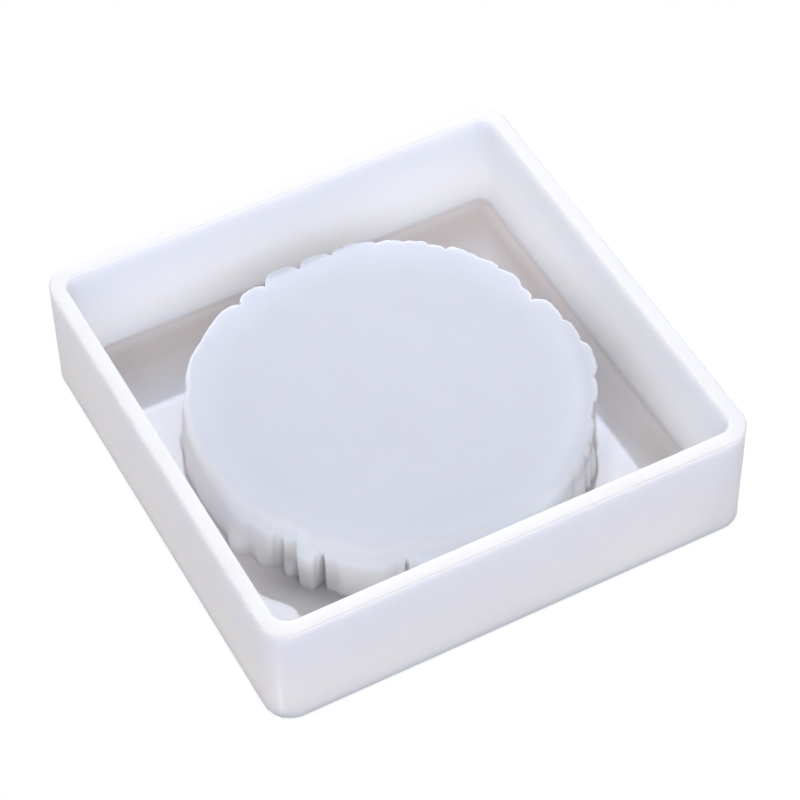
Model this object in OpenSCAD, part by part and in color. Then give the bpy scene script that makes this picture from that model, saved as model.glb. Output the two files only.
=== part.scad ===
// Square silicone casting mould with a raised, bark-edged round core.
// Poured full, it gives a square block with a round, bark-edged recess on one side.
// Origin: centre of the underside. +Z is up, out of the open mouth. Millimetres.
// The real mould is one seamless moulding; the nodes are its regions, face to face.

/* [Mould] */
// Outer side of the square mould
mould_side = 128; // [124:1:160]
// Overall height, from the underside to the rim
mould_h = 32.5; // [26:0.5:50]
// Thickness of the perimeter wall
wall_t = 4; // [3:0.5:5]
// Thickness of the floor sheet
floor_t = 2.5; // [2:0.5:4]
// Radius of the outer upright corners
corner_r = 7; // [5:0.5:12]
// Radius of the inner upright corners
inner_corner_r = 4; // [2:0.5:10]

/* [Core] */
// Nominal radius of the core's top edge
core_r = 50; // [44:0.5:51]
// Height of the core above the cavity floor
core_h = 15; // [8:0.5:20]
// How far the core's side leans out from its top down to the cavity floor
core_draft = 1; // [0:0.25:2]
// Thickness of the silicone over the hollow under the core
cap_t = 3; // [2:0.5:5]
// Nominal thickness of the core's side, between its bark edge and the hollow
skirt_t = 8; // [6:0.5:16]

/* [Bark edge] */
// Strength of the bark's crevices and plates, 0 is a plain circle
bark_relief = 1; // [0:0.1:1]

/* [Hidden] */
$fn = 96;

// Each plate of bark: [angle of the crevice that starts it, depth of that crevice,
// bulge of the plate], anticlockwise, both in mm from the core's nominal radius.
BARK = [
    [1, -0.9, -0.1], [13, -3.8, -1.8], [19.5, -1.6, 0.3], [28.5, -0.3, 0.9],
    [35.5, 0.5, 1.3], [39.5, 1.1, 1.8], [46, 0.5, 1.3], [51, 1.1, 2],
    [58.5, 0.8, 1.7], [66.5, 0.8, 1.9], [76.5, 0.7, 0.8], [80, -1, 0.5],
    [91, -2.4, 0.9], [103.5, -2.4, 0.1], [113.5, -1.9, 0.9], [131.5, 0.4, 1.3],
    [149, -0.3, 1], [160, 0, 0.7], [172, -0.4, 0.4], [183, -0.8, 0.2],
    [190, -0.8, 1], [201, -2, 0], [209, -3.2, -1], [215, -1, 1.6],
    [222.5, -3.5, 0.9], [246, -3.2, 0], [262, -1.4, 0.4], [277, -1.2, 0.4],
    [290.5, -2.2, -0.2], [301, -1.2, 0.8], [308.5, -0.8, 1], [312.5, 0, 0.9],
    [322.5, -0.5, 0], [327.5, -0.2, 1], [337.5, 0.4, 1.9], [351.5, 0.3, 0.5]
];
// Points along each plate of bark
PLATE_STEPS = 8;
// A plate runs nearly level and turns down steeply into its crevices
PLATE_FULLNESS = 4;

// Height of the core's flat top above the underside
core_top = floor_t + core_h;
// Underside of the cap, where the hollow ends
hollow_top = core_top - cap_t;
// Radius of the round hollow
hollow_r = core_r - skirt_t;

// Silicone, milky white
SILICONE = [0.90, 0.91, 0.93];

// Drop of a plate of bark from its crown at t = 0.5 to its crevices at t = 0 and 1
function fall(t) = pow(abs(2 * t - 1), PLATE_FULLNESS);

// Offset from the nominal radius a part t of the way along plate i
function bark(i, t) = let (
    crown = BARK[i][2],
    crevice = t < 0.5 ? BARK[i][1] : BARK[(i + 1) % len(BARK)][1]
) bark_relief * (crown - (crown - crevice) * fall(t));

// Angle a part t of the way along plate i
function bark_angle(i, t) = let (
    start = BARK[i][0],
    end = i + 1 < len(BARK) ? BARK[i + 1][0] : BARK[0][0] + 360
) start + (end - start) * t;

// Bark-edged outline of the core's top
function bark_outline() = [
    for (i = [0 : len(BARK) - 1], step = [0 : PLATE_STEPS - 1])
        let (t = step / PLATE_STEPS, reach = core_r + bark(i, t), a = bark_angle(i, t))
            [reach * cos(a), reach * sin(a)]
];

// Size of the core at height z, as a part of its size at the top
function core_spread(z) = 1 + core_draft / core_r * (core_top - z) / core_h;

// Square with rounded corners, centred on the origin
module rounded_square(side, r) {
    reach = side / 2 - r;
    square([side, 2 * reach], center = true);
    square([2 * reach, side], center = true);
    for (x = [-reach, reach], y = [-reach, reach])
        translate([x, y]) circle(r);
}

// Slice of the core from height z0 to z1
module core_slice(z0, z1) {
    translate([0, 0, z0])
        linear_extrude(z1 - z0, scale = core_spread(z1) / core_spread(z0))
            scale(core_spread(z0)) polygon(bark_outline());
}

// Upright bore of the hollow, open through the underside
module hollow() {
    translate([0, 0, -1]) cylinder(h = hollow_top + 1, r = hollow_r);
}

// Flat sheet under the whole mould, open where the core is hollow
module floor_sheet() {
    color(SILICONE)
        difference() {
            linear_extrude(floor_t) rounded_square(mould_side, corner_r);
            hollow();
        }
}

// Wall around the cavity, standing on the floor sheet
module perimeter_wall() {
    color(SILICONE)
        translate([0, 0, floor_t])
            linear_extrude(mould_h - floor_t)
                difference() {
                    rounded_square(mould_side, corner_r);
                    rounded_square(mould_side - 2 * wall_t, inner_corner_r);
                }
}

// Bark-edged side of the core, a ring around the hollow
module core_skirt() {
    color(SILICONE)
        difference() {
            core_slice(floor_t, hollow_top);
            hollow();
        }
}

// Flat top of the core, over the hollow
module core_cap() {
    color(SILICONE) core_slice(hollow_top, core_top);
}

floor_sheet();
perimeter_wall();
core_skirt();
core_cap();
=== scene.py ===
"""Square silicone casting mould with a raised, bark-edged round core, as one seamless moulded skin."""

import math

import bpy
import numpy as np
from mathutils import Matrix, Vector, noise


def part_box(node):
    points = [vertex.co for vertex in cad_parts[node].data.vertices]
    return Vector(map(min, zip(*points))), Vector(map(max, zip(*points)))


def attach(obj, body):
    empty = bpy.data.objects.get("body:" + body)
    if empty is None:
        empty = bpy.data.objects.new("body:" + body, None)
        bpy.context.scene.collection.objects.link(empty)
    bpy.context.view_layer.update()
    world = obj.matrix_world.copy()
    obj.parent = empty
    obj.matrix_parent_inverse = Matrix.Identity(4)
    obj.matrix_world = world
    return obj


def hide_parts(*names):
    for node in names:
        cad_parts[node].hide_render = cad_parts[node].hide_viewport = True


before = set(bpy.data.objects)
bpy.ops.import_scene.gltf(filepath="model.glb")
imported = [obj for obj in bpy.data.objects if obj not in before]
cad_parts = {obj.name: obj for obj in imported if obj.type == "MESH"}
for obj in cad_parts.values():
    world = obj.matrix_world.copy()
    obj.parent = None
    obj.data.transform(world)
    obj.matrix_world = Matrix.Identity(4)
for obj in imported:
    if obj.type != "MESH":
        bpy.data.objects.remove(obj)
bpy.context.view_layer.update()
scene = bpy.context.scene

# ---------------------------------------------------------------- sizes, in metres
MM = 0.001
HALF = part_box("perimeter_wall")[1].x        # half the outer side
RIM_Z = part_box("perimeter_wall")[1].z       # top of the wall
FLOOR_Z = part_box("floor_sheet")[1].z        # top of the floor sheet
CORE_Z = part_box("core_cap")[1].z            # flat top of the core
HOLLOW_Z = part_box("core_cap")[0].z          # ceiling of the hollow under the core

WALL = 4 * MM                               # thickness of the wall
OUTER_R = 7 * MM                            # outer upright corners
INNER_R = 4 * MM                            # inner upright corners
RIM_EDGE = 0.45 * MM                        # rounding of the rim's two edges
FOOT_EDGE = 0.5 * MM                        # rounding of the lowest outer edge and the hollow's mouth
FLOOR_FILLET = 1.0 * MM                     # fillet between the wall and the cavity floor
CORE_FILLET = 0.5 * MM                      # fillet between the core's side and the floor
CREST_BACK = 0.8 * MM                       # rounding of the core's top edge at the back
CREST_FRONT = 5.0 * MM                      # the same at the front, where the edge is softest
HOLLOW_FILLET = 2.5 * MM                    # fillet round the hollow's ceiling
HOLD = 0.25 * MM                            # width of the flat strip beside each rounding

FRONT = 230                                 # direction of the core's softest edge, degrees from +X to +Y


# ---------------------------------------------------------------- outlines, each a list of points
def polar(radius, theta):
    return np.stack([radius * np.cos(theta), radius * np.sin(theta)], 1)


def square_outline(half, corner, arc_steps=14, side_steps=6):
    """Rounded square, anticlockwise from the middle of the +X side."""
    reach = half - corner
    arc = np.linspace(0, math.pi / 2, arc_steps + 1)
    corner_points = np.stack([reach + corner * np.cos(arc), reach + corner * np.sin(arc)], 1)
    along = np.linspace(0, reach, side_steps, endpoint=False)
    first = np.stack([np.full(side_steps, half), along], 1)
    second = np.stack([reach - along[1:], np.full(side_steps - 1, half)], 1)
    quarter_turn = np.concatenate([first, corner_points, second])
    turns = [quarter_turn]
    for _ in range(3):
        last = turns[-1]
        turns.append(np.stack([-last[:, 1], last[:, 0]], 1))
    return np.concatenate(turns)


def circle_outline(r, count=180):
    return polar(np.full(count, r), np.arange(count) * 2 * math.pi / count)


TURNS = 1440                                # points round the core
THETA = np.arange(TURNS) * 2 * math.pi / TURNS


def node_points(node):
    return np.array([v.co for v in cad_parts[node].data.vertices])


def hollow_radius():
    co = node_points("floor_sheet")
    return np.hypot(co[:, 0], co[:, 1]).min()


def node_outline(node, z):
    """Radius of a CAD node's outer edge at height z, at each angle of THETA."""
    co = node_points(node)
    co = co[np.abs(co[:, 2] - z) < 1e-5]
    r, a = np.hypot(co[:, 0], co[:, 1]), np.arctan2(co[:, 1], co[:, 0]) % (2 * math.pi)
    outer = r > hollow_r + 2 * MM
    a, first = np.unique(a[outer].round(6), return_index=True)
    return np.interp(THETA, a, r[outer][first], period=2 * math.pi)


def smoothed(values, degrees):
    """Weighted running mean round a ring of values."""
    width = int(degrees / 360 * TURNS)
    kernel = np.hanning(width + 2)[1:-1]
    wrapped = np.concatenate([values[-width:], values, values[:width]])
    return np.convolve(wrapped, kernel / kernel.sum(), "same")[width:-width]


def closed(values, degrees):
    """Ring of values with every dip narrower than that angle filled in."""
    half = int(degrees / 720 * TURNS)
    high = np.max([np.roll(values, k) for k in range(-half, half + 1)], axis=0)
    return np.min([np.roll(high, k) for k in range(-half, half + 1)], axis=0)


def smoothstep(x):
    x = np.clip(x, 0, 1)
    return x * x * (3 - 2 * x)


def hump(degrees, half_width):
    """1 at an angle round the core, falling smoothly to 0 at half_width degrees either side."""
    away = np.abs((np.degrees(THETA) - degrees + 180) % 360 - 180)
    return smoothstep(1 - away / half_width)


# ---------------------------------------------------------------- the core's bark edge
hollow_r = hollow_radius()
core_top_r = node_outline("core_cap", CORE_Z)
core_foot_r = node_outline("core_skirt", FLOOR_Z)
front = hump(FRONT, 112)                    # where the top edge is soft
back = hump(50, 110)                        # where creases cut the bark
filled = np.clip(2 * hump(245, 100), 0, 1)  # where the notches between plates close up to slits
blurred = np.clip(3 * hump(163, 50) + 2 * hump(277, 34), 0, 1)      # where the bark is worn soft
crest = CREST_BACK + (CREST_FRONT - CREST_BACK) * front


def relief(z, pitch, rise, seed):
    """Smooth noise on the core's side, from about -1 to 1: one lump every pitch along it and rise up it."""
    r = 50 * MM / pitch
    return np.array([noise.noise(Vector((r * math.cos(a), r * math.sin(a), h / rise + seed)))
                     for a, h in zip(THETA, z)])


def creases(z, pitch, rise, seed):
    """Narrow creases between rounded lobes, 0 on a lobe and 1 in a crease."""
    return np.clip(1 - 3.5 * np.abs(relief(z, pitch, rise, seed)), 0, 1) ** 1.5


# Low plates that stand out from under the bark above them:
# middle and half width in degrees, reach in mm, top as a part of the core's height
LOW_PLATES = ((196, 4.5, 1.5, 0.42), (204.5, 3.0, 0.8, 0.30), (213, 3.0, 1.3, 0.36),
              (229, 4.0, 0.5, 0.22), (317, 5.0, 0.7, 0.50))

# Narrow slits between the front plates: direction and half width in degrees, depth in mm
SLITS = ((210.0, 1.0, 0.8), (223.0, 1.0, 2.0), (246.2, 1.0, 1.8), (309.5, 1.0, 1.2))


def bark_radius(z):
    """Radius of the core's side at heights z, one height for each angle."""
    up = (z - FLOOR_Z) / (CORE_Z - FLOOR_Z)
    down = 1 - np.clip(up, 0, 1)
    lean = relief(z, 18 * MM, 20 * MM, 11) * math.radians(2.0) * (up - 1)
    plain = core_foot_r + (core_top_r - core_foot_r) * up
    r = np.interp(THETA + lean, THETA, plain, period=2 * math.pi)
    r += (closed(r, 5.5) - r) * filled
    r += (smoothed(r, 10) - r) * 0.85 * blurred

    # The foot stands out at the left and lies back at the right, and the top stands out at the front right
    r += 0.35 * MM * hump(154, 26) * down ** 1.5
    r -= 1.6 * MM * np.clip(2 * hump(334, 26), 0, 1) * down ** 0.5
    r += 0.9 * MM * hump(297, 20) * up

    for middle, half_width, reach, top in LOW_PLATES:
        ragged_top = top + 0.05 * relief(z, 3 * MM, 30 * MM, middle)
        r += reach * MM * hump(middle, half_width) ** 0.7 * smoothstep((ragged_top - up) / 0.25)
    for middle, half_width, depth in SLITS:
        spread = half_width * (0.55 + 1.2 * down)
        r -= depth * MM * hump(middle, spread) * smoothstep((0.95 - up) / 0.45)

    # Lumps and fine grain all round, creases at the back
    r += (1 - 0.5 * front) * 0.22 * MM * relief(z, 4.0 * MM, 14 * MM, 3)
    r += (1 - filled) * 0.07 * MM * relief(z, 1.4 * MM, 9 * MM, 7)
    r -= back * 0.45 * MM * creases(z, 2.6 * MM, 16 * MM, 5)
    r -= back * 0.16 * MM * creases(z, 0.9 * MM, 8 * MM, 9)
    return r


# ---------------------------------------------------------------- the skin, ring by ring
class Skin:
    """A mesh made of closed rings of points, each joined to the one before."""

    def __init__(self):
        self.verts, self.faces, self.last = [], [], None

    def ring(self, outline, z):
        start, count = len(self.verts), len(outline)
        heights = z if isinstance(z, np.ndarray) else np.full(count, z)
        self.verts.extend(zip(outline[:, 0], outline[:, 1], heights))
        turn = np.unwrap(np.arctan2(outline[:, 1], outline[:, 0]))
        ring = (start, count, np.append(turn, turn[0] + 2 * math.pi))
        if self.last:
            self.join(self.last, ring)
        else:
            self.faces.append(tuple(reversed(range(start, start + count))))
        self.last = ring

    def join(self, a, b):
        (a0, na, ta), (b0, nb, tb) = a, b
        if na == nb:
            for i in range(na):
                j = (i + 1) % na
                self.faces.append((a0 + i, a0 + j, b0 + j, b0 + i))
            return
        i = j = 0
        while i < na or j < nb:
            if j == nb or (i < na and ta[i + 1] <= tb[j + 1]):
                self.faces.append((a0 + i, a0 + (i + 1) % na, b0 + j % nb))
                i += 1
            else:
                self.faces.append((a0 + i % na, b0 + (j + 1) % nb, b0 + j))
                j += 1

    def close(self):
        start, count, _ = self.last
        self.faces.append(tuple(range(start, start + count)))

    def mesh(self, name):
        mesh = bpy.data.meshes.new(name)
        mesh.from_pydata([tuple(v) for v in self.verts], [], self.faces)
        mesh.update()
        mesh.shade_smooth()
        return mesh


def quarter(steps):
    """Angles along a quarter turn, ends included."""
    return [math.pi / 2 * i / steps for i in range(steps + 1)]


def add_hollow(skin):
    """Ceiling, side and mouth of the hollow under the core."""
    inset = HOLLOW_FILLET + HOLD
    for r in (hollow_r * 0.35, hollow_r * 0.7, hollow_r - inset):
        skin.ring(circle_outline(r), HOLLOW_Z)
    for a in quarter(6):
        r = hollow_r - HOLLOW_FILLET * (1 - math.sin(a))
        skin.ring(circle_outline(r), HOLLOW_Z - HOLLOW_FILLET * (1 - math.cos(a)))
    high, low = HOLLOW_Z - HOLLOW_FILLET, FOOT_EDGE
    for z in (high - HOLD, (high + low) / 2, low + HOLD):
        skin.ring(circle_outline(hollow_r), z)
    for a in quarter(4):
        r = hollow_r + FOOT_EDGE * (1 - math.cos(a))
        skin.ring(circle_outline(r), FOOT_EDGE * (1 - math.sin(a)))
    skin.ring(circle_outline(hollow_r + FOOT_EDGE + HOLD), 0)


def add_wall(skin):
    """Underside, outer face, rim and inner face, down to the cavity floor."""
    def square(inset):
        return square_outline(HALF - inset, OUTER_R - inset)

    def cavity(inset):
        corner = INNER_R - (0.5 * inset if inset > 0 else inset)
        return square_outline(HALF - WALL - inset, corner)

    skin.ring(square(FOOT_EDGE + HOLD), 0)
    for a in quarter(4):
        skin.ring(square(FOOT_EDGE * (1 - math.sin(a))), FOOT_EDGE * (1 - math.cos(a)))
    low, high = FOOT_EDGE, RIM_Z - RIM_EDGE
    for z in (low + HOLD, (low + high) / 2, high - HOLD):
        skin.ring(square(0), z)
    for a in quarter(5):
        skin.ring(square(RIM_EDGE * (1 - math.cos(a))), RIM_Z - RIM_EDGE * (1 - math.sin(a)))
    skin.ring(square(RIM_EDGE + HOLD), RIM_Z)
    skin.ring(cavity(-RIM_EDGE - HOLD), RIM_Z)
    for a in quarter(5):
        skin.ring(cavity(-RIM_EDGE * (1 - math.sin(a))), RIM_Z - RIM_EDGE * (1 - math.cos(a)))
    low = FLOOR_Z + FLOOR_FILLET
    for z in (high - HOLD, (low + high) / 2, low + HOLD):
        skin.ring(cavity(0), z)
    for a in quarter(6):
        skin.ring(cavity(FLOOR_FILLET * (1 - math.cos(a))), FLOOR_Z + FLOOR_FILLET * (1 - math.sin(a)))
    skin.ring(cavity(FLOOR_FILLET + HOLD), FLOOR_Z)


def add_core(skin):
    """Fillet, bark side, soft top edge and flat top."""
    foot = np.full(TURNS, FLOOR_Z)
    # A plain circle between wall and bark, so that no floor face folds over beside a notch
    skin.ring(circle_outline(HALF - WALL - 3.5 * MM, TURNS), FLOOR_Z)
    skin.ring(polar(bark_radius(foot) + CORE_FILLET + HOLD, THETA), FLOOR_Z)
    for a in quarter(4):
        z = foot + CORE_FILLET * (1 - math.cos(a))
        skin.ring(polar(bark_radius(z) + CORE_FILLET * (1 - math.sin(a)), THETA), z)
    low, high = FLOOR_Z + CORE_FILLET, CORE_Z - crest
    for t in np.linspace(0, 1, 21)[1:-1]:
        z = low + (high - low) * t
        skin.ring(polar(bark_radius(z), THETA), z)
    soften = 0.1 + 0.85 * front
    for a in quarter(9):
        z = CORE_Z - crest * (1 - math.sin(a))
        r = bark_radius(z)
        r += (smoothed(r, 12) - r) * soften * smoothstep(a / math.radians(45))
        edge = r - crest * (1 - math.cos(a))
        skin.ring(polar(edge, THETA), z)
    skin.ring(polar(edge - HOLD, THETA), CORE_Z)
    skin.ring(circle_outline(0.84 * edge.mean()), CORE_Z)
    skin.ring(circle_outline(0.45 * edge.mean(), 90), CORE_Z)
    skin.close()


def build_skin():
    skin = Skin()
    add_hollow(skin)
    add_wall(skin)
    add_core(skin)
    obj = bpy.data.objects.new("mould_body", skin.mesh("mould_body"))
    scene.collection.objects.link(obj)
    return obj


# ---------------------------------------------------------------- material
SCATTER_WALL = 0.008                        # mean path of red light inside the wall
SCATTER_WALL_FOOT = 0.016                   # the same low inside, where light comes through from outside
SCATTER_CORE = 0.006                        # in the core
SCATTER_FLOOR = 0.0025                      # in the floor sheet
SCATTER_FLOOR_SIDE = 0.0048                 # and in its strip beside the back and right walls
SCATTER_TINT = (1.0, 0.85, 0.7)             # blue is turned back soonest, so thin parts look bluish

# Most tones below are one milky silicone made lighter or darker part by part to carry the light and shade
# on the mould: painted light and painted shade
INNER_TOP_TONE = (0.755, 0.79, 0.835)       # the wall's inner face, at its top, darker than low down
INNER_FOOT_TONE = (0.985, 0.99, 0.99)       # and low down, lighter: painted light against the shade at the wall's foot
OUTER_TOP_TONE = (0.77, 0.80, 0.86)         # its outer face, at its top, cooler: painted light
OUTER_FOOT_TONE = (0.80, 0.80, 0.81)        # and low down, warmer: painted shade; also the plain tone of all of the underside
# The rim's top, toned well below the walls to offset the full key light on it: painted shade
RIM_TONE = (0.615, 0.60, 0.57)
FLOOR_TONE = (0.615, 0.565, 0.53)           # thin sheet on the table, greyer and warmer than the walls: partly its own tone, partly painted shade
FLOOR_PAINTED_LIGHT_TONE = (0.75, 0.73, 0.745)       # painted light on the sheet's shaded part, lighter towards its sunlit part
WALL_SIDE_PAINTED_LIGHT_TONE = (0.76, 0.72, 0.70)         # painted light on the sheet close beside the back and right walls
CORE_FOOT_PAINTED_SHADE_TONE = (0.43, 0.40, 0.375)             # painted shade on the sheet beside the core's foot, away from the key light
THIN_CAP_SHADE_TONE = (0.465, 0.458, 0.468)            # thin cap over the hollow, darker: partly the thin cap's own tone, partly painted shade
EDGE_TONE = (0.490, 0.497, 0.521)           # solid edge round the cap, cooler and lighter on the side towards the key light: painted light
FRONT_EDGE_TONE = (0.492, 0.485, 0.497)     # and warmer on the side away from it: painted shade
RIGHT_EDGE_PAINTED_SHADE_TONE = (0.44, 0.435, 0.445)      # painted shade on its outermost strip at the front right
BACK_EDGE_PAINTED_LIGHT_TONE = (0.65, 0.68, 0.735)        # painted light on its strip at the back, over the shadow that the back wall casts there
BARK_CREST_TONE = (0.765, 0.775, 0.785)     # the core's side just under its top, lighter and cooler: painted light
BARK_TONE = (0.755, 0.725, 0.70)            # halfway down
BARK_FOOT_PAINTED_SHADE_TONE = (0.67, 0.635, 0.61)        # and at its foot, darker: painted shade
DEEP_BARK_TONE = (0.52, 0.50, 0.485)        # foot of the front plates, deepest in their own shade
LEFT_BARK_PAINTED_LIGHT_TONE = (0.77, 0.74, 0.72)         # painted light on the bark where the wall stands close beside it
RIGHT_BARK_PAINTED_SHADE_TONE = (0.56, 0.55, 0.555)       # painted shade at the front right, behind the front wall
BACK_BARK_PAINTED_LIGHT_TONE = (0.90, 0.89, 0.885)        # at the back, lighter: painted light, which also throws more light on the wall's foot
MOTTLE = 0.006                              # how far cloudiness changes the tone


def live(sockets, name):
    """The socket of that name which the node's settings leave in use."""
    return next(s for s in sockets if s.name == name and s.enabled)


class Nodes:
    """Short calls for the few kinds of node that the material needs."""

    def __init__(self, tree):
        self.tree = tree

    def add(self, kind, **settings):
        made = self.tree.nodes.new("ShaderNode" + kind)
        for key, value in settings.items():
            setattr(made, key, value)
        return made

    def feed(self, socket, value):
        if isinstance(value, bpy.types.NodeSocket):
            self.tree.links.new(value, socket)
        else:
            socket.default_value = value

    def span(self, value, start, end, low, high, kind="LINEAR"):
        """low at start and high at end, clamped outside."""
        made = self.add("MapRange", interpolation_type=kind)
        given = {"Value": value, "From Min": start, "From Max": end, "To Min": low, "To Max": high}
        for name, number in given.items():
            self.feed(made.inputs[name], number)
        return made.outputs["Result"]

    def ease(self, value, start, end):
        """0 at start and 1 at end, with a smooth step between."""
        return self.span(value, start, end, 0.0, 1.0, "SMOOTHSTEP")

    def math(self, operation, a, b=0.0):
        made = self.add("Math", operation=operation)
        self.feed(made.inputs[0], a)
        self.feed(made.inputs[1], b)
        return made.outputs[0]

    def times(self, a, b):
        return self.math("MULTIPLY", a, b)

    def mix(self, factor, a, b, kind="FLOAT"):
        """a where the factor is 0 and b where it is 1."""
        made = self.add("Mix", data_type=kind)
        for name, value in (("Factor", factor), ("A", a), ("B", b)):
            self.feed(live(made.inputs, name), value)
        return live(made.outputs, "Result")

    def blend(self, factor, a, b):
        """The same for colours, each a tone above or the result of another blend."""
        a, b = ((*tone, 1) if isinstance(tone, tuple) else tone for tone in (a, b))
        return self.mix(factor, a, b, "RGBA")

    def noise(self, place, scale, detail, roughness):
        made = self.add("TexNoise")
        self.feed(made.inputs["Vector"], place)
        made.inputs["Scale"].default_value = scale
        made.inputs["Detail"].default_value = detail
        made.inputs["Roughness"].default_value = roughness
        return made.outputs[0]

    def bump(self, height, depth, normal=None):
        made = self.add("Bump")
        self.feed(made.inputs["Height"], height)
        made.inputs["Distance"].default_value = depth
        if normal:
            self.feed(made.inputs["Normal"], normal)
        return made.outputs[0]


class Spot:
    """Where a point of the mould lies, and the masks that several tones share."""

    def __init__(self, n):
        self.place = n.add("TexCoord").outputs["Object"]
        axes = n.add("SeparateXYZ")
        n.feed(axes.inputs[0], self.place)
        self.x, self.y, self.z = (axes.outputs[name] for name in "XYZ")
        facing = n.add("SeparateXYZ")
        n.feed(facing.inputs[0], n.add("NewGeometry").outputs["Normal"])
        self.upright = facing.outputs["Z"]
        self.reach = n.math("SQRT", n.math("ADD", n.times(self.x, self.x), n.times(self.y, self.y)))
        self.across = n.math("MAXIMUM", n.math("ABSOLUTE", self.x), n.math("ABSOLUTE", self.y))
        self.from_right = n.math("SUBTRACT", HALF - WALL, self.x)
        self.from_back = n.math("SUBTRACT", HALF - WALL, self.y)
        self.beside = n.span(n.math("MINIMUM", self.from_back, self.from_right), 0.0, 4 * MM, 1.0, 0.0)
        self.front_right = n.times(n.ease(self.x, 16 * MM, 34 * MM), n.ease(self.y, 10 * MM, -5 * MM))
        self.high = n.ease(self.z, FLOOR_Z, RIM_Z - 4 * MM)
        self.outside = n.ease(self.across, HALF - 3 * MM, HALF - 1 * MM)


def wall_tone(n, spot):
    # Painted light and shade: each face changes tone with its height, and the rim is toned apart
    inner = n.blend(spot.high, INNER_FOOT_TONE, INNER_TOP_TONE)
    outer = n.blend(spot.high, OUTER_FOOT_TONE, OUTER_TOP_TONE)
    rim = n.ease(spot.z, RIM_Z - 0.35 * MM, RIM_Z - 0.1 * MM)
    return n.blend(rim, n.blend(spot.outside, inner, outer), RIM_TONE)


def floor_tone(n, spot):
    """Painted light and shade on the sheet: lighter beside the wall and near its sunlit part, and darker
    beside the core.
    """
    # The back wall's shadow is 24 mm wide, and the right wall's is about half as wide
    into_shadow = n.math("MINIMUM", spot.from_back, n.times(spot.from_right, 1.9))
    painted_light = n.times(n.span(into_shadow, 9 * MM, 23 * MM, 0.0, 1.0),
                   n.span(into_shadow, 23 * MM, 26 * MM, 1.0, 0.2))
    right_part = n.times(n.span(spot.y, 30 * MM, 0.0, 0.0, 0.65),
                         n.span(spot.y, -45 * MM, -25 * MM, 0.0, 1.0))
    painted_light = n.math("MAXIMUM", painted_light, n.times(n.ease(spot.x, 20 * MM, 40 * MM), right_part))
    # Painted shade on the sheet beside the core's foot, at the front
    core_shade = n.times(n.ease(spot.reach, 58 * MM, 52 * MM), n.ease(spot.y, -18 * MM, -32 * MM))
    core_shade = n.times(core_shade, n.span(spot.x, 30 * MM, 15 * MM, 0.35, 1.0))
    sheet = n.blend(painted_light, FLOOR_TONE, FLOOR_PAINTED_LIGHT_TONE)
    # Painted light on the sheet close beside the back and right walls
    sheet = n.blend(spot.beside, sheet, WALL_SIDE_PAINTED_LIGHT_TONE)
    return n.blend(core_shade, sheet, CORE_FOOT_PAINTED_SHADE_TONE)


def cap_tone(n, spot):
    """The core's level top: painted shade on its thin middle, and painted light and shade round its solid
    edge.
    """
    # Painted light on the edge's side towards the key light, painted shade on its far side
    slant = n.math("ADD", n.times(spot.x, 0.7), n.times(spot.y, 0.9))
    towards_key = n.ease(slant, -45 * MM, 45 * MM)
    right_side = n.times(n.ease(spot.x, 32 * MM, 46 * MM), n.ease(spot.y, 30 * MM, 5 * MM))
    bright_side = n.math("SUBTRACT", towards_key, n.times(towards_key, right_side))
    # Painted light over the strip where the back wall's shadow falls on the edge
    back_strip = n.ease(spot.y, 47.5 * MM, 48.8 * MM)
    # Painted shade on the outermost strip of the edge at the front right
    right_strip = n.times(spot.front_right, n.ease(spot.reach, 45.5 * MM, 49 * MM))
    # Painted shade on the thin middle of the top
    thin = n.ease(spot.reach, 48 * MM, 38 * MM)
    edge = n.blend(bright_side, FRONT_EDGE_TONE, EDGE_TONE)
    edge = n.blend(back_strip, edge, BACK_EDGE_PAINTED_LIGHT_TONE)
    edge = n.blend(right_strip, edge, RIGHT_EDGE_PAINTED_SHADE_TONE)
    return n.blend(thin, edge, THIN_CAP_SHADE_TONE)


def bark_tone(n, spot):
    """The core's side, from foot to crest, with painted light and shade on its parts that get more light or
    less.
    """
    deep = n.times(n.ease(spot.x, -32 * MM, -37 * MM), n.ease(spot.y, -20 * MM, -26 * MM))
    deep = n.times(deep, n.ease(spot.z, FLOOR_Z + 11 * MM, FLOOR_Z + 3 * MM))
    # Painted light on the bark at the left, close beside the wall
    left = n.times(n.ease(spot.x, -42 * MM, -48 * MM), n.ease(spot.y, -20 * MM, 0.0))
    # Painted shade on the bark at the front right
    right = n.times(spot.front_right, n.span(spot.z, CORE_Z - 8 * MM, CORE_Z - 4 * MM, 0.3, 1.0))
    # Painted light on the bark's upper part at the back
    behind = n.times(n.ease(spot.y, 20 * MM, 40 * MM), n.ease(spot.z, CORE_Z - 1.5 * MM, CORE_Z - 4 * MM))
    # Painted shade darker towards the foot, painted light at the crest
    bark = n.blend(n.ease(spot.z, FLOOR_Z, FLOOR_Z + 8 * MM), BARK_FOOT_PAINTED_SHADE_TONE, BARK_TONE)
    bark = n.blend(n.ease(spot.z, CORE_Z - 7 * MM, CORE_Z - 3 * MM), bark, BARK_CREST_TONE)
    bark = n.blend(deep, bark, DEEP_BARK_TONE)
    bark = n.blend(left, bark, LEFT_BARK_PAINTED_LIGHT_TONE)
    bark = n.blend(right, bark, RIGHT_BARK_PAINTED_SHADE_TONE)
    return n.blend(behind, bark, BACK_BARK_PAINTED_LIGHT_TONE)


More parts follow.
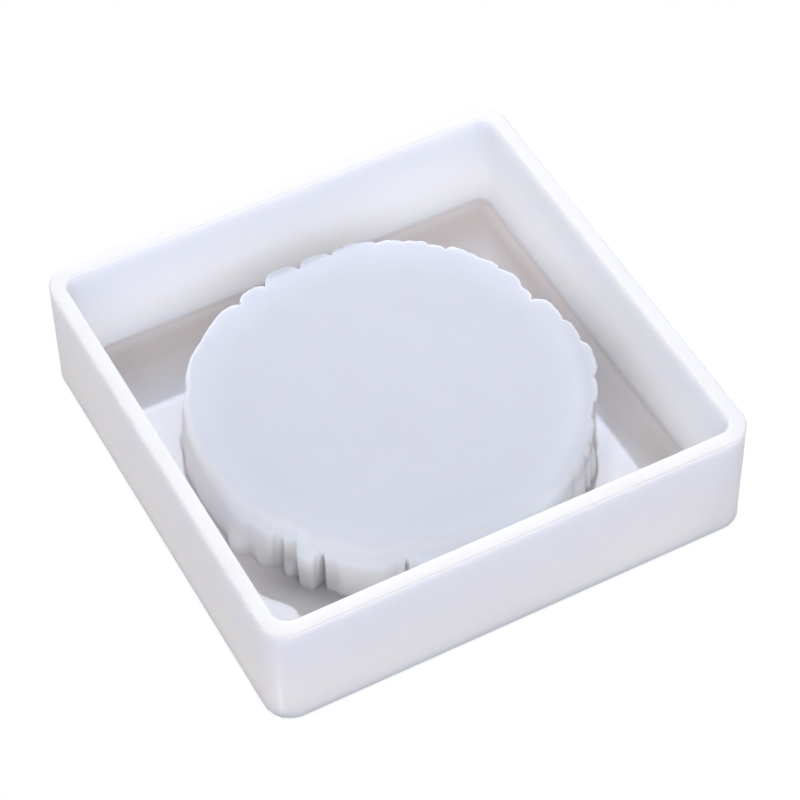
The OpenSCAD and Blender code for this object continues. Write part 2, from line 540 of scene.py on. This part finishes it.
def silicone():
    mat = bpy.data.materials.new("milky_silicone")
    mat.use_nodes = True
    n = Nodes(mat.node_tree)
    spot = Spot(n)
    bsdf = mat.node_tree.nodes["Principled BSDF"]
    bsdf.inputs["Subsurface Weight"].default_value = 1.0
    bsdf.inputs["Subsurface Radius"].default_value = SCATTER_TINT
    bsdf.inputs["IOR"].default_value = 1.41

    # Masks: 1 on the cavity floor, on the core and on the core's level top
    inside = n.ease(spot.across, HALF - WALL + 0.2 * MM, HALF - WALL - 0.2 * MM)
    floor = n.times(inside, n.ease(spot.z, FLOOR_Z + 1.2 * MM, FLOOR_Z + 0.1 * MM))
    floor = n.math("MAXIMUM", floor, n.ease(spot.reach, 56.5 * MM, 55.5 * MM))
    core = n.times(n.ease(spot.reach, 55 * MM, 53.5 * MM),
                   n.ease(spot.z, FLOOR_Z + 0.2 * MM, FLOOR_Z + 1.2 * MM))
    # The tone turns from the top's to the side's as the surface tilts, keeping the crest evenly bright:
    # painted light and shade
    tilt = n.math("SQRT", n.math("SUBTRACT", 1.0, n.times(spot.upright, spot.upright)))
    level = n.times(n.span(tilt, 0.05, 0.95, 1.0, 0.0), n.ease(spot.z, CORE_Z - 7 * MM, CORE_Z - 5 * MM))

    # 1 in the hollow and on the flat underside
    hollow = n.times(n.ease(spot.reach, hollow_r + 2 * MM, hollow_r + 1 * MM),
                     n.ease(spot.z, HOLLOW_Z + 1 * MM, HOLLOW_Z))
    underneath = n.math("MAXIMUM", hollow, n.ease(spot.upright, -0.3, -0.9))

    tone = n.blend(floor, wall_tone(n, spot), floor_tone(n, spot))
    tone = n.blend(core, tone, n.blend(level, bark_tone(n, spot), cap_tone(n, spot)))
    tone = n.blend(underneath, tone, OUTER_FOOT_TONE)

    # Faint cloudiness in the silicone, broad and fine together
    clouds = n.noise(spot.place, 38, 4, 0.55)
    scaled = n.add("VectorMath", operation="SCALE")
    n.feed(scaled.inputs[0], tone)
    n.feed(scaled.inputs["Scale"], n.span(clouds, 0.3, 0.7, 1 - MOTTLE, 1 + MOTTLE))
    n.feed(bsdf.inputs["Base Color"], scaled.outputs[0])

    wall_scatter = n.mix(n.math("MAXIMUM", spot.high, spot.outside), SCATTER_WALL_FOOT, SCATTER_WALL)
    floor_scatter = n.mix(spot.beside, SCATTER_FLOOR, SCATTER_FLOOR_SIDE)
    scatter = n.mix(core, n.mix(floor, wall_scatter, floor_scatter), SCATTER_CORE)
    n.feed(bsdf.inputs["Subsurface Scale"], scatter)

    # Satin surface: faint patches of gloss over a very fine moulded grain and a slight waviness
    gloss = n.noise(spot.place, 110, 3, 0.6)
    n.feed(bsdf.inputs["Roughness"], n.span(gloss, 0.25, 0.75, 0.49, 0.53))
    grain = n.bump(n.noise(spot.place, 1400, 2, 0.6), 0.012 * MM)
    waves = n.bump(n.noise(spot.place, 90, 2, 0.5), 0.005 * MM, grain)
    n.feed(bsdf.inputs["Normal"], waves)
    return mat


# ---------------------------------------------------------------- object
skin = build_skin()
skin.data.materials.append(silicone())
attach(skin, "root")
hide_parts("floor_sheet", "perimeter_wall", "core_skirt", "core_cap")


# ---------------------------------------------------------------- floor, light and camera
KEY = (0.42, 0.80, 1.0)                     # towards the sun-like key light
KEY_COLOR = (1.98, 2.22, 2.70)
FRONT_FILL = (0.0, -1.0, 0.7)
FRONT_COLOR = (1.36, 1.35, 1.57)
LEFT_FILL = (-1.0, 0.0, 0.7)
LEFT_COLOR = (1.00, 0.93, 0.965)
TOP_FILL = (0.0, 0.0, 1.0)
TOP_COLOR = (0.055, 0.157, 0.24)
KEY_SPREAD = 2.0                            # degrees
FILL_SPREAD = 70
FLOOR_COLOR = (2.82, 2.93, 3.10)            # what whitens the floor round the mould
SKY_COLOR = (0.448, 0.416, 0.375)
TABLE_COLOR = (0.25, 0.26, 0.28)            # light that the table throws back
FLOOR_HALF = 4.0
BACKDROP_R = 3.8
PALE = 0.9

CAMERA_TURN = (-27.30, 49.56, -1.14)        # azimuth from -Y, elevation and roll, in degrees
CAMERA_TARGET = (0.0076, 0.0100, 0.0)
CAMERA_DISTANCE = 0.760
LENS = 135.8                                # mm, on a sensor 36 mm wide


def collection_of(name, *objects):
    made = bpy.data.collections.new(name)
    for o in objects:
        made.objects.link(o)
    return made


def add_stage(name, mesh, shade, emission=0.0):
    obj = bpy.data.objects.new(name, mesh)
    scene.collection.objects.link(obj)
    mat = bpy.data.materials.new("pale_" + name)
    mat.use_nodes = True
    bsdf = mat.node_tree.nodes["Principled BSDF"]
    bsdf.inputs["Base Color"].default_value = (shade, shade, shade, 1)
    bsdf.inputs["Roughness"].default_value = 0.9
    bsdf.inputs["Specular IOR Level"].default_value = 0.1
    bsdf.inputs["Emission Color"].default_value = (1, 1, 1, 1)
    bsdf.inputs["Emission Strength"].default_value = emission
    mesh.materials.append(mat)
    return obj


def square_sheet(half, z):
    corners = [(-half, -half, z), (half, -half, z), (half, half, z), (-half, half, z)]
    mesh = bpy.data.meshes.new("sheet")
    mesh.from_pydata(corners, [], [(0, 1, 2, 3)])
    return mesh


def dome(radius, turns=48, steps=12):
    """Half sphere over the floor, seen from inside."""
    verts, faces = [], []
    for step in range(steps):
        rise = math.pi / 2 * step / steps
        ring = circle_outline(radius * math.cos(rise), turns)
        verts.extend((x, y, radius * math.sin(rise) - 0.001) for x, y in ring)
    verts.append((0, 0, radius))
    for step in range(steps - 1):
        for i in range(turns):
            j = (i + 1) % turns
            low, high = step * turns, (step + 1) * turns
            faces.append((low + i, high + i, high + j, low + j))
    last = (steps - 1) * turns
    faces.extend((last + i, len(verts) - 1, last + (i + 1) % turns) for i in range(turns))
    mesh = bpy.data.meshes.new("dome")
    mesh.from_pydata(verts, [], faces)
    return mesh


def add_sun(name, towards, color, spread_deg, lit, shading):
    light = bpy.data.lights.new(name, "SUN")
    light.energy = max(color)
    light.color = [c / max(color) for c in color]
    light.angle = math.radians(spread_deg)
    obj = bpy.data.objects.new(name, light)
    obj.rotation_euler = Vector(towards).to_track_quat("Z", "Y").to_euler()
    scene.collection.objects.link(obj)
    obj.light_linking.receiver_collection = collection_of(name + "_lights", *lit)
    obj.light_linking.blocker_collection = collection_of(name + "_shaded_by", *shading)


def add_world():
    """Soft sky above the horizon, light from the table below it."""
    world = bpy.data.worlds.new("studio")
    world.use_nodes = True
    n = Nodes(world.node_tree)
    axes = n.add("SeparateXYZ")
    n.feed(axes.inputs[0], n.add("TexCoord").outputs["Generated"])
    above = n.ease(axes.outputs["Z"], -0.02, 0.02)
    color = n.blend(above, TABLE_COLOR, SKY_COLOR)
    n.feed(world.node_tree.nodes["Background"].inputs["Color"], color)
    scene.world = world


def add_camera():
    azimuth, elevation, roll = (math.radians(turn) for turn in CAMERA_TURN)
    level_back = Vector((math.sin(azimuth), -math.cos(azimuth), 0))
    back = level_back * math.cos(elevation) + Vector((0, 0, math.sin(elevation)))
    right = (-back).cross(Vector((0, 0, 1))).normalized()
    up = right.cross(-back)
    rolled_right = math.cos(roll) * right + math.sin(roll) * up
    rolled_up = math.cos(roll) * up - math.sin(roll) * right
    data = bpy.data.cameras.new("camera")
    data.sensor_width = 36
    data.lens = LENS
    obj = bpy.data.objects.new("camera", data)
    turned = Matrix((rolled_right, rolled_up, back)).transposed().to_4x4()
    obj.matrix_world = Matrix.Translation(Vector(CAMERA_TARGET) + back * CAMERA_DISTANCE) @ turned
    scene.collection.objects.link(obj)
    scene.camera = obj


floor = add_stage("floor", square_sheet(FLOOR_HALF, -0.4 * MM), PALE)
floor.visible_diffuse = False
table = add_stage("table_under_mould", square_sheet(HALF - 2 * MM, -0.2 * MM), PALE)
backdrop = add_stage("backdrop", dome(BACKDROP_R), 0.0, 1.0)
for ray in ("diffuse", "glossy", "transmission", "shadow", "volume_scatter"):
    setattr(backdrop, "visible_" + ray, False)
mould = (skin, table)
add_sun("key", KEY, KEY_COLOR, KEY_SPREAD, mould, mould)
add_sun("front_fill", FRONT_FILL, FRONT_COLOR, FILL_SPREAD, mould, mould)
add_sun("left_fill", LEFT_FILL, LEFT_COLOR, FILL_SPREAD, mould, mould)
add_sun("top_fill", TOP_FILL, TOP_COLOR, FILL_SPREAD, mould, mould)
add_sun("floor_light", KEY, FLOOR_COLOR, KEY_SPREAD, (floor,), (floor,))
add_world()
add_camera()
scene.view_settings.view_transform = "Standard"
